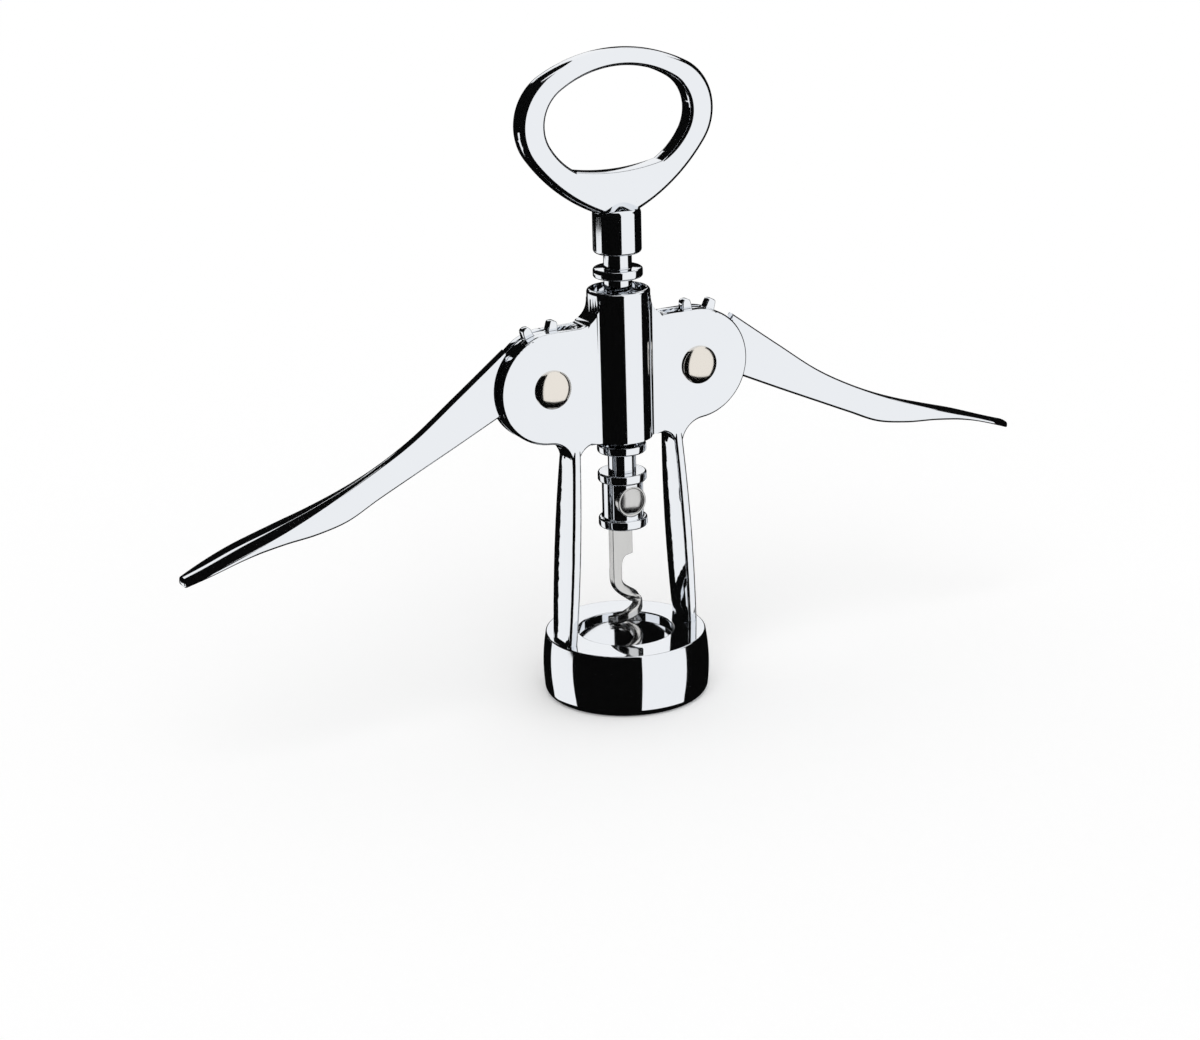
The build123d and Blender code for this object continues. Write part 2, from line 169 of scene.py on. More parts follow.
def prism(outline, half_depth, edge, steps=4, way=1):
    """Outline in X and Z carried along Y, drawn in along its own normals over the rounded edges.

    Over an edge of radius e the outline lies e (1 - sin a) inside itself at a depth of e (1 - cos a) from the
    face, with a from 0 to a right angle; a way of -1 moves it out instead, for the wall of a hole.
    """
    a = np.linspace(0, np.pi / 2, steps + 1)
    inset = edge * (1 - np.sin(a))
    depth = edge * (1 - np.cos(a)) - half_depth
    inset = np.concatenate([inset, inset[::-1]])
    depth = np.concatenate([depth, -depth[::-1]])
    after = np.roll(outline, -1, axis=0)
    side = after - np.roll(outline, 1, axis=0)
    area = np.sum(outline[:, 0] * after[:, 1] - outline[:, 1] * after[:, 0])
    inward = unit_rows(np.stack([-side[:, 1], side[:, 0]], -1)) * np.sign(area) * way
    flat = outline[None] + inset[:, None, None] * inward[None]
    y = np.broadcast_to(depth[:, None], flat.shape[:2])
    return np.stack([flat[..., 0], y, flat[..., 1]], -1)


# Meshes
def shell(name, grid, wrap_rows=True, wrap_columns=True, capped=False):
    """Closed mesh of one grid of points in millimetres, with its first and last rows filled if capped."""
    rows, columns = grid.shape[:2]
    faces = grid_quads(rows, columns, wrap_rows, wrap_columns).tolist()
    if capped:
        faces.append(list(range(columns))[::-1])
        faces.append(list(range((rows - 1) * columns, rows * columns)))
    mesh = bpy.data.meshes.new(name)
    mesh.from_pydata((grid.reshape(-1, 3) * MM).tolist(), [], faces)
    tidy_mesh(mesh)
    piece = bpy.data.objects.new(name, mesh)
    bpy.context.scene.collection.objects.link(piece)
    return piece


def tidy_mesh(mesh, weld=1e-7):
    """Welds poles and seams, drops faces without area and turns every face outwards."""
    work = bmesh.new()
    work.from_mesh(mesh)
    bmesh.ops.remove_doubles(work, verts=work.verts, dist=weld)
    bmesh.ops.dissolve_degenerate(work, edges=work.edges, dist=weld)
    bmesh.ops.recalc_face_normals(work, faces=work.faces)
    work.to_mesh(mesh)
    work.free()


def smooth(piece, crease=35.0, flat_weight=80):
    """Smooth shading that keeps flat faces flat and breaks at edges sharper than the crease, in degrees."""
    piece.data.shade_smooth()
    piece.data.set_sharp_from_angle(angle=math.radians(crease))
    weighted = piece.modifiers.new("flat_faces", "WEIGHTED_NORMAL")
    weighted.keep_sharp = True
    weighted.weight = flat_weight
    return piece


def combined(name, operation, base, *others):
    """One closed mesh: a base joined with overlapping meshes by UNION, or cut by them by DIFFERENCE."""
    for other in others:
        step = base.modifiers.new("step", "BOOLEAN")
        step.operation = operation
        step.solver = "EXACT"
        step.object = other
    graph = bpy.context.evaluated_depsgraph_get()
    mesh = bpy.data.meshes.new_from_object(base.evaluated_get(graph))
    mesh.name = name
    for used in (base, *others):
        old = used.data
        bpy.data.objects.remove(used)
        bpy.data.meshes.remove(old)
    tidy_mesh(mesh)
    piece = bpy.data.objects.new(name, mesh)
    bpy.context.scene.collection.objects.link(piece)
    return piece


def place(piece, body, slot, finish, *nodes):
    """Gives a finished piece its finish and its body, and hides the nodes it stands for; the slot is not used.
    """
    piece.data.materials.clear()
    piece.data.materials.append(finish)
    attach(piece, body)
    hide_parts(*nodes)
    return piece


# Finishes
def node_group(name, inputs, outputs):
    """Shader node group with the given sockets, and its input and output nodes."""
    group = bpy.data.node_groups.new(name, "ShaderNodeTree")
    for label, kind, value in inputs:
        socket = group.interface.new_socket(label, in_out="INPUT", socket_type=kind)
        socket.default_value = value
    for label, kind in outputs:
        group.interface.new_socket(label, in_out="OUTPUT", socket_type=kind)
    return group, group.nodes.new("NodeGroupInput"), group.nodes.new("NodeGroupOutput")


def link(tree, source, target):
    """Wire from an output socket to an input socket."""
    tree.links.new(source, target)


def polish_group(streak_scale=1800.0, streak_squash=0.06, faintest=0.12, fullest=0.42):
    """Wiped polish: a soft haze times fine upright streaks sets the roughness between two values."""
    name = "wiped_polish"
    if name in bpy.data.node_groups:
        return bpy.data.node_groups[name]
    group, start, end = node_group(
        name,
        [
            ("Vector", "NodeSocketVector", (0, 0, 0)),
            ("Low", "NodeSocketFloat", 0.02),
            ("High", "NodeSocketFloat", 0.06),
            ("Haze Scale", "NodeSocketFloat", 60.0),
        ],
        [("Roughness", "NodeSocketFloat"), ("Haze", "NodeSocketFloat")],
    )
    nodes = group.nodes
    haze = nodes.new("ShaderNodeTexNoise")
    haze.inputs["Detail"].default_value = 4
    stretch = nodes.new("ShaderNodeMapping")
    stretch.inputs["Scale"].default_value = (1.0, 1.0, streak_squash)
    streak = nodes.new("ShaderNodeTexNoise")
    streak.inputs["Scale"].default_value = streak_scale
    both = nodes.new("ShaderNodeMath")
    both.operation = "MULTIPLY"
    span = nodes.new("ShaderNodeMapRange")
    span.inputs["From Min"].default_value = faintest
    span.inputs["From Max"].default_value = fullest
    link(group, start.outputs["Vector"], haze.inputs["Vector"])
    link(group, start.outputs["Haze Scale"], haze.inputs["Scale"])
    link(group, start.outputs["Vector"], stretch.inputs["Vector"])
    link(group, stretch.outputs["Vector"], streak.inputs["Vector"])
    link(group, haze.outputs["Fac"], both.inputs[0])
    link(group, streak.outputs["Fac"], both.inputs[1])
    link(group, both.outputs["Value"], span.inputs["Value"])
    link(group, start.outputs["Low"], span.inputs["To Min"])
    link(group, start.outputs["High"], span.inputs["To Max"])
    link(group, span.outputs["Result"], end.inputs["Roughness"])
    link(group, haze.outputs["Fac"], end.inputs["Haze"])
    return group


def metal(name, tint, shade, low, high, ripple, ripple_scale):
    """Plated or bare metal: a tint that drifts to a shade of itself, wiped roughness and a buffed ripple."""
    if name in bpy.data.materials:
        return bpy.data.materials[name]
    material = bpy.data.materials.new(name)
    material.use_nodes = True
    tree = material.node_tree
    shader = tree.nodes["Principled BSDF"]
    shader.inputs["Metallic"].default_value = 1.0
    places = tree.nodes.new("ShaderNodeTexCoord")
    polish = tree.nodes.new("ShaderNodeGroup")
    polish.node_tree = polish_group()
    polish.inputs["Low"].default_value = low
    polish.inputs["High"].default_value = high
    tone = tree.nodes.new("ShaderNodeMix")
    tone.data_type = "RGBA"
    tone.inputs["A"].default_value = (*tint, 1)
    tone.inputs["B"].default_value = (*(shade * np.array(tint)), 1)
    wave = tree.nodes.new("ShaderNodeTexNoise")
    wave.inputs["Scale"].default_value = ripple_scale
    wave.inputs["Detail"].default_value = 1.0
    bump = tree.nodes.new("ShaderNodeBump")
    bump.inputs["Strength"].default_value = 1.0
    bump.inputs["Distance"].default_value = ripple
    link(tree, places.outputs["Object"], polish.inputs["Vector"])
    link(tree, places.outputs["Object"], wave.inputs["Vector"])
    link(tree, polish.outputs["Haze"], tone.inputs["Factor"])
    link(tree, tone.outputs["Result"], shader.inputs["Base Color"])
    link(tree, polish.outputs["Roughness"], shader.inputs["Roughness"])
    link(tree, wave.outputs["Fac"], bump.inputs["Height"])
    link(tree, bump.outputs["Normal"], shader.inputs["Normal"])
    return material


def chrome():
    """Polished chrome plate of the cast, stamped and turned pieces."""
    tint = bpy.context.scene.corkscrew_finish.chrome_tint
    return metal("chrome_plate", tint, shade=0.985, low=0.03, high=0.07, ripple=2.0e-7, ripple_scale=90.0)


def nickel():
    """Satin nickel of the rivets."""
    tint = bpy.context.scene.corkscrew_finish.nickel_tint
    return metal("rivet_nickel", tint, shade=0.94, low=0.10, high=0.17, ripple=6.0e-7, ripple_scale=300.0)


def steel():
    """Plain drawn steel of the worm, its pin and the rod."""
    tint = bpy.context.scene.corkscrew_finish.steel_tint
    return metal("drawn_steel", tint, shade=0.88, low=0.14, high=0.28, ripple=1.0e-6, ripple_scale=700.0)


# Settings that a user would change
class CorkscrewSizes(bpy.types.PropertyGroup):
    """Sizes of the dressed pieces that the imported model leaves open."""

    bell_round: FloatProperty(
        name="Bell foot round", description="Radius of the bell's lower outer edge",
        default=2.0 * MM, min=0.5 * MM, max=4.0 * MM, unit="LENGTH", precision=5,
    )
    plate_edge: FloatProperty(
        name="Plate edge", description="Radius of the edges of the flat plates",
        default=0.7 * MM, min=0.05 * MM, max=0.9 * MM, unit="LENGTH", precision=5,
    )
    ring_edge: FloatProperty(
        name="Ring edge", description="Radius of the handle ring's outer edges",
        default=1.7 * MM, min=0.5 * MM, max=2.4 * MM, unit="LENGTH", precision=5,
    )
    disc_edge: FloatProperty(
        name="Disc edge", description="Radius of the edges of the rack's discs",
        default=0.5 * MM, min=0.1 * MM, max=0.8 * MM, unit="LENGTH", precision=5,
    )


class CorkscrewFinish(bpy.types.PropertyGroup):
    """Colours of the three metals."""

    chrome_tint: FloatVectorProperty(
        name="Chrome", description="Reflection colour of the chrome plate",
        default=(0.83, 0.853, 0.886), min=0, max=1, size=3, subtype="COLOR",
    )
    nickel_tint: FloatVectorProperty(
        name="Nickel", description="Reflection colour of the rivets",
        default=(0.82, 0.775, 0.71), min=0, max=1, size=3, subtype="COLOR",
    )
    steel_tint: FloatVectorProperty(
        name="Steel", description="Reflection colour of the worm and its pin",
        default=(0.65, 0.648, 0.64), min=0, max=1, size=3, subtype="COLOR",
    )


class CorkscrewStudio(bpy.types.PropertyGroup):
    """Camera and light of the studio."""

    azimuth: FloatProperty(
        name="Azimuth", description="Turn of the camera about Z from the front",
        default=math.radians(-28.15), subtype="ANGLE",
    )
    elevation: FloatProperty(
        name="Elevation", description="Height of the camera above the horizon",
        default=math.radians(18.89), subtype="ANGLE",
    )
    roll: FloatProperty(
        name="Roll", description="Lean of the camera about its line of sight",
        default=math.radians(-1.41), subtype="ANGLE",
    )
    distance: FloatProperty(
        name="Distance", description="From the camera to the point it is aimed at",
        default=0.68538, min=0.1, unit="LENGTH",
    )
    aim_across: FloatProperty(
        name="Aim across", description="Aim to the right of the spindle",
        default=-0.00564, unit="LENGTH",
    )
    aim_height: FloatProperty(
        name="Aim height", description="Aim above the floor",
        default=0.04394, unit="LENGTH",
    )
    lens: FloatProperty(
        name="Lens", description="Focal length on a 36 mm wide sensor",
        default=84.465, min=10, unit="CAMERA",
    )
    floor_tint: FloatVectorProperty(
        name="Floor", description="Colour of the floor",
        default=(0.95, 0.95, 0.95), min=0, max=1, size=3, subtype="COLOR",
    )


class CORKSCREW_OT_bell(bpy.types.Operator):
    """Bell: one turned profile with a bulging side, a rounded foot, a socket and a cork hole"""

    bl_idname = "corkscrew.bell"
    bl_label = "Bell"

    mouth, cork_hole, plate = 15.4, 11.7, 2.7
    shoulder_in, shoulder_round, foot_in = 0.8, 0.4, 0.45
    # The side bulges past the radius at a share of the height, on a long arc
    bulge, bulge_share, bulge_round = 0.25, 0.54, 45.0
    # Bevel inside the foot with its two rounds, then the rounds of the socket and of the cork hole's edges
    bevel, bevel_rounds, socket_round, hole_rounds = 0.8, (0.25, 0.3), 0.4, (0.3, 0.35)
    sides, arc_steps = 240, 10

    def execute(self, context):
        sizes = context.scene.corkscrew_sizes
        radius, height = BELL_HIGH[0], BELL_HIGH[2]
        ceiling = height - self.plate
        corners_radii = [
            ((radius - self.shoulder_in, height), self.shoulder_round),
            ((radius + self.bulge, self.bulge_share * height), self.bulge_round),
            ((radius - self.foot_in, 0.0), sizes.bell_round / MM),
            ((self.mouth + self.bevel, 0.0), self.bevel_rounds[0]),
            ((self.mouth, self.bevel), self.bevel_rounds[1]),
            ((self.mouth, ceiling), self.socket_round),
            ((self.cork_hole, ceiling), self.hole_rounds[0]),
            ((self.cork_hole, height), self.hole_rounds[1]),
        ]
        corners, radii = zip(*corners_radii)
        piece = shell("bell_ring", lathe(rounded(corners, radii, self.arc_steps), self.sides))
        place(smooth(piece), "frame", "polished_chrome", chrome(), "bell")
        return {"FINISHED"}


class CORKSCREW_OT_frame(bpy.types.Operator):
    """Casting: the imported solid's own facets welded, smoothed and given the plate"""

    bl_idname = "corkscrew.frame"
    bl_label = "Frame"

    weld, crease = 2e-6, 40.0

    def execute(self, context):
        mesh = frame["nodes"]["frame"].data.copy()
        tidy_mesh(mesh, self.weld)
        piece = bpy.data.objects.new("frame_casting", mesh)
        context.scene.collection.objects.link(piece)
        place(smooth(piece, self.crease), "frame", "polished_chrome", chrome(), "frame")
        return {"FINISHED"}


class CORKSCREW_OT_levers(bpy.types.Operator):
    """Levers: a plate that turns into a crowned paddle, fused to a pegged gear head"""

    bl_idname = "corkscrew.levers"
    bl_label = "Levers"

    # Gear head: its faces stand a hair inside the arm's
    thickness, face_gap, head_edge, bearings = 2.4, 0.02, 0.3, 2880
    teeth, tooth_step, first_tooth = 8, 26.6, 70.2
    tip_radius, root_radius, ease = 16.0, 13.55, 21
    # Half a tooth at its root and what the flank takes off, then the crown's fall over half a tooth's tip
    half_tooth, flank, crown_fall, crown_half = 1.36, 0.32, 0.12, 0.9
    # Arm: rounds of the ridge and the tip, the least roof and the largest share of a wall that an edge takes
    ridge_round, tip_round, least_rise, edge_share = 0.5, 0.7, 0.02, 0.42
    sections, arc_steps = 180, 8
    # Flat strip: it widens between two distances from the pivot, from a least share to the whole half width
    strip_from, strip_to, strip_half, strip_least = 66.0, 82.0, 0.6, 0.1
    # Distance out from the pivot, ridge and underside above it, half width and rise of the ridge
    stations = [
        (11.0, 10.58, -4.4, 1.2, 0.02),
        (24.0, 1.0, -10.5, 1.2, 0.02),
        (36.0, -7.6, -16.0, 1.2, 0.02),
        (45.0, -12.6, -20.1, 1.3, 0.05),
        (53.0, -16.3, -23.6, 2.0, 0.1),
        (61.0, -19.4, -25.0, 3.1, 0.2),
        (70.0, -22.4, -25.5, 4.4, 0.3),
        (80.0, -25.5, -27.1, 4.8, 0.4),
        (89.0, -28.7, -30.1, 3.7, 0.3),
        (93.7, -30.2, -32.0, 2.2, 0.25),
    ]

    def arm(self, edge):
        """House-shaped sections along X.

        At each x there are a floor, two walls and a low roof with a flat strip along its ridge and rounded
        corners, whose sizes run through the stations. Over the last stretch each section shrinks to its
        middle as an ellipse.
        """
        table = np.array(self.stations)
        start, tip = table[0, 0], table[-1, 0]
        x = start + (tip - start) * np.sin(np.linspace(0, np.pi / 2, self.sections))
        ridge, under, width, rise = cubic_through(x, table[:, 0], table[:, 1:]).T
        eave = ridge - np.clip(rise, self.least_rise, None)
        widening = (x - self.strip_from) / (self.strip_to - self.strip_from)
        strip = self.strip_half * np.clip(widening, self.strip_least, 1)
        walls = np.stack([width, width, strip, -strip, -width, -width], -1)
        levels = np.stack([under, eave, ridge, ridge, eave, under], -1)
        edges = np.minimum(edge, self.edge_share * (eave - under))
        ridges = self.ridge_round + 0 * x
        radii = np.stack([edges, edges, ridges, ridges, edges, edges], -1)
        section = rounded(np.stack([walls, levels], -1), radii, self.arc_steps)
        past = np.clip((x - tip + self.tip_round) / self.tip_round, 0, 1)
        shrink = np.sqrt(1 - past**2)[:, None, None]
        middle = np.stack([0 * x, (ridge + under) / 2], -1)[:, None]
        section = middle + shrink * (section - middle)
        along = np.broadcast_to(x[:, None, None], (*section.shape[:2], 1))
        return np.concatenate([along, section], -1)

    def head(self):
        """Gear outline in polar form, carried along Y.

        The radius is the root circle's, raised to the tip circle's over each tooth, with flanks that narrow
        from 2.7 mm at the root to 2.1 mm at the tip. A raised-cosine average eases the corners.
        """
        angle = np.linspace(0, 360, self.bearings, endpoint=False)
        centres = self.first_tooth + self.tooth_step * np.arange(self.teeth)
        away = np.abs((angle[:, None] - centres + 180) % 360 - 180).min(1)
        from_centre = np.radians(away) * (self.tip_radius + self.root_radius) / 2
        rise = np.clip((self.half_tooth - from_centre) / self.flank, 0, 1)
        rise = rise * (1 - self.crown_fall * np.clip(from_centre / self.crown_half, 0, 1) ** 3)
        ease = np.hanning(self.ease + 2)[1:-1]
        rise = np.convolve(np.pad(rise, self.ease // 2, "wrap"), ease / ease.sum(), "valid")
        radius = self.root_radius + (self.tip_radius - self.root_radius) * rise
        turn = np.radians(angle)
        outline = radius[:, None] * np.stack([np.cos(turn), np.sin(turn)], -1)
        return prism(outline, self.thickness / 2 - self.face_gap, self.head_edge)

    def execute(self, context):
        edge = context.scene.corkscrew_sizes.plate_edge / MM
        pivot = np.array([PIVOT[0], 0, PIVOT[2]])
        for side, sign in (("left", -1), ("right", 1)):
            mirror = np.array([sign, 1, 1])
            arm = shell(side + "_arm", (self.arm(edge) + pivot) * mirror, wrap_rows=False, capped=True)
            head = shell(side + "_head", (self.head() + pivot) * mirror, wrap_rows=False, capped=True)
            piece = combined(side + "_lever_blade", "UNION", arm, head)
            place(smooth(piece), side + "_lever", "polished_chrome", chrome(), side + "_lever")
        return {"FINISHED"}


class CORKSCREW_OT_rivets(bpy.types.Operator):
    """Pivot rivets: a shank with a domed head on each cheek"""

    bl_idname = "corkscrew.rivets"
    bl_label = "Pivot rivets"

    head_radius, head_height, crown, shank = 4.65, 1.7, 1.35, 2.5
    sides, dome_steps = 96, 40

    def execute(self, context):
        """Profile of radius and height: a quarter ellipse over each head's short wall, and the shank."""
        top = RIVET_HIGH[1]
        face = top - self.head_height
        a = np.linspace(0, np.pi / 2, self.dome_steps)
        dome = np.stack([self.head_radius * np.sin(a), top - self.crown * (1 - np.cos(a))], -1)
        dome = np.concatenate([dome, [(self.head_radius, face)]])
        neck = np.array([[self.shank, face], [self.shank, -face]])
        profile = np.concatenate([dome, neck, dome[::-1] * (1, -1)])
        for side, sign in (("left", -1), ("right", 1)):
            grid = facing_front(lathe(profile, self.sides), sign * PIVOT[0], PIVOT[2])
            piece = shell(side + "_rivet", grid, wrap_columns=False)
            place(smooth(piece), "frame", "satin_nickel", nickel(), side + "_pivot_rivet")
        return {"FINISHED"}


class CORKSCREW_OT_rack(bpy.types.Operator):
    """Rack: a sleeve with seven discs at an even pitch, turned as one profile"""

    bl_idname = "corkscrew.rack"
    bl_label = "Rack"

    discs, pitch, first, half_disc, neck, bore = 7, 7.2, 62.7, 1.1, 3.4, 2.05
    end_round, fillet, sides, arc_steps = 0.05, 0.25, 120, 5

    def execute(self, context):
        """Profile of radius and height: down the bore's wall, and back up over four corners for each disc."""
        edge = context.scene.corkscrew_sizes.disc_edge / MM
        radius, low, high = RACK_HIGH[0], RACK_LOW[2], RACK_HIGH[2]
        levels = self.first + self.pitch * np.arange(self.discs)[:, None]
        reach = np.array([self.neck, radius, radius, self.neck])
        height = levels + self.half_disc * np.array([-1, -1, 1, 1])
        steps = np.stack([np.broadcast_to(reach, height.shape), height], -1).reshape(-1, 2)
        ends = [(self.bore, high), (self.bore, low), (self.neck, low)]
        corners = np.concatenate([ends, steps, [(self.neck, high)]])
        disc_rounds = np.tile([self.fillet, edge, edge, self.fillet], self.discs)
        radii = np.concatenate([[self.end_round] * len(ends), disc_rounds, [self.end_round]])
        piece = shell("ring_rack", lathe(rounded(corners, radii, self.arc_steps), self.sides))
        place(smooth(piece), "rack", "polished_chrome", chrome(), "rack_spindle")
        return {"FINISHED"}


class CORKSCREW_OT_handle(bpy.types.Operator):
    """Handle: an egg-shaped ring with an opener lip, fused to its round collar"""

    bl_idname = "corkscrew.handle"
    bl_label = "Handle ring"

    centre = np.array([0.0, 143.0])
    # Top, crown and side arcs as radius and sweep, and the end of the last arc
    outer = (158.8, (40.5, 27.6), (13.0, 98.3), (4.6, 120.2))
    hole = (154.8, (28.0, 31.9), (9.3, 89.3), (11.3, 131.5))
    lip_dip, half_depth, hole_edge = 1.2, 2.6, 1.1
    bearings, lip_steps, outer_steps, hole_steps = 720, 60, 10, 6
    # Collar: its core is hidden by the rod below and the ring above, and its dome ends in a small flat
    collar_radius, collar_bottom, collar_top, collar_dome = 5.8, 110.7, 120.9, 123.2
    collar_core, collar_flat, collar_sides, collar_steps = 0.6, 2.2, 160, 10
    collar_rounds = (0.05, 0.8, 1.6, 2.0, 0.05)

    def round_centre(self, half_outline):
        """Right half of an outline, mirrored and resampled at even bearings from the ring's centre.

        An average over the nearest bearings eases its corners.
        """
        arm = half_outline - self.centre
        bearing = np.arctan2(arm[:, 1], arm[:, 0])
        order = np.argsort(bearing)
        angle = np.linspace(0, 2 * np.pi, self.bearings, endpoint=False)
        folded = np.arctan2(np.sin(angle), np.abs(np.cos(angle)))
        reach = np.interp(folded, bearing[order], np.linalg.norm(arm, axis=1)[order])
        reach = (np.roll(reach, 1) + 2 * reach + np.roll(reach, -1)) / 4
        return self.centre + reach[:, None] * np.stack([np.cos(angle), np.sin(angle)], -1)

    def ring(self, edge):
        """Two walls of one prism: the outer egg drawn in over its edges, and the hole drawn out over its own.

        The hole is an egg closed by the opener's lip, z = corner z - dip (1 - (x / corner x)^2).
        """
        outer = np.concatenate([egg(*self.outer), [(0.0, self.outer[3][1])]])
        corner_x, corner_z = self.hole[3]
        share = np.linspace(1, 0, self.lip_steps)[1:, None]
        lip = np.concatenate([corner_x * share, corner_z - self.lip_dip * (1 - share**2)], 1)
        inner = np.concatenate([egg(*self.hole), lip])
        outside = prism(self.round_centre(outer), self.half_depth, edge, self.outer_steps)
        inside = prism(self.round_centre(inner), self.half_depth, self.hole_edge, self.hole_steps, way=-1)
        return np.concatenate([outside, inside[::-1]])

    def collar(self):
        """Profile of radius and height from the core's foot, out and up the side, and over the low dome."""
        corners = [
            (self.collar_core, self.collar_bottom),
            (self.collar_radius, self.collar_bottom),
            (self.collar_radius, self.collar_top),
            (self.collar_flat, self.collar_dome),
            (self.collar_core, self.collar_dome),
        ]
        return lathe(rounded(corners, self.collar_rounds, self.collar_steps), self.collar_sides)

    def execute(self, context):
        ring = shell("ring", self.ring(context.scene.corkscrew_sizes.ring_edge / MM))
        piece = combined("ring_handle", "UNION", ring, shell("collar", self.collar()))
        place(smooth(piece), "handle", "polished_chrome", chrome(), "handle_ring")
        return {"FINISHED"}


class CORKSCREW_OT_chuck(bpy.types.Operator):
    """Chuck and its pin: a turned spool with a seat cut for the pin, and a domed pin with a raised rim"""

    bl_idname = "corkscrew.chuck"
    bl_label = "Chuck and pin"

    body, flange, bore = 5.0, 2.3, 1.0
    bore_round, fillet, spool_sides, arc_steps = 0.05, 0.3, 160, 6
    # Pin: its height above the floor, its seat's depth, and the room and the front end of its head's cut
    pin_height, pin_seat, seat_gap, seat_front, pin_sides = 49.8, -3.25, 0.02, -9.0, 96
    pin_shank, pin_bevel = 1.5, 0.2
    dome_radius, groove, dome_steps = 3.2, 0.75, 16
    rim_front, rim_height, rim_steps = 0.55, 0.2, 12

    def spool(self, edge):
        """Profile of radius and height: out of the bore, and in and out between the two flanges."""
        radius, low, high = CHUCK_HIGH[0], CHUCK_LOW[2], CHUCK_HIGH[2]
        corners_radii = [
            ((self.bore, low), self.bore_round),
            ((radius, low), edge),
            ((radius, low + self.flange), edge),
            ((self.body, low + self.flange), self.fillet),
            ((self.body, high - self.flange), self.fillet),
            ((radius, high - self.flange), edge),
            ((radius, high), edge),
            ((self.bore, high), self.bore_round),
        ]
        corners, radii = zip(*corners_radii)
        return lathe(rounded(corners, radii, self.arc_steps), self.spool_sides)

    def across(self, profile):
        """Profile of radius and depth turned about the pin's own axis, which runs along Y."""
        return facing_front(lathe(profile, self.pin_sides), 0.0, self.pin_height)

    def pin(self):
        """A spherical dome, a rim whose front is half an ellipse, and a bevelled shank."""
        head, front, back = PIN_HIGH[0], PIN_LOW[1], PIN_HIGH[1]
        ball = (self.dome_radius**2 + self.groove**2) / (2 * self.groove)
        a = np.linspace(0, math.asin(self.dome_radius / ball), self.dome_steps)
        dome = np.stack([ball * np.sin(a), front + ball * (1 - np.cos(a))], -1)
        a = np.linspace(0, np.pi, self.rim_steps)
        bead = (head - self.dome_radius) / 2
        rim_depth = front + self.rim_front + self.rim_height * (1 - np.sin(a))
        rim = np.stack([head - bead - bead * np.cos(a), rim_depth], -1)
        shank = [
            (head, self.pin_seat),
            (self.pin_shank, self.pin_seat),
            (self.pin_shank, back - self.pin_bevel),
            (self.pin_shank - self.pin_bevel, back),
            (0.0, back),
        ]
        return self.across(np.concatenate([dome, rim[1:], shank]))

    def execute(self, context):
        spool = shell("spool", self.spool(context.scene.corkscrew_sizes.disc_edge / MM))
        room = PIN_HIGH[0] + self.seat_gap
        seat = [(0.0, self.pin_seat), (room, self.pin_seat), (room, self.seat_front), (0.0, self.seat_front)]
        drill = shell("seat", self.across(np.array(seat)), wrap_columns=False)
        piece = combined("chuck_spool", "DIFFERENCE", spool, drill)
        place(smooth(piece), "handle", "polished_chrome", chrome(), "worm_chuck")
        pin = shell("chuck_pin", self.pin(), wrap_columns=False)
        place(smooth(pin), "handle", "plain_steel", steel(), "worm_pin")
        return {"FINISHED"}


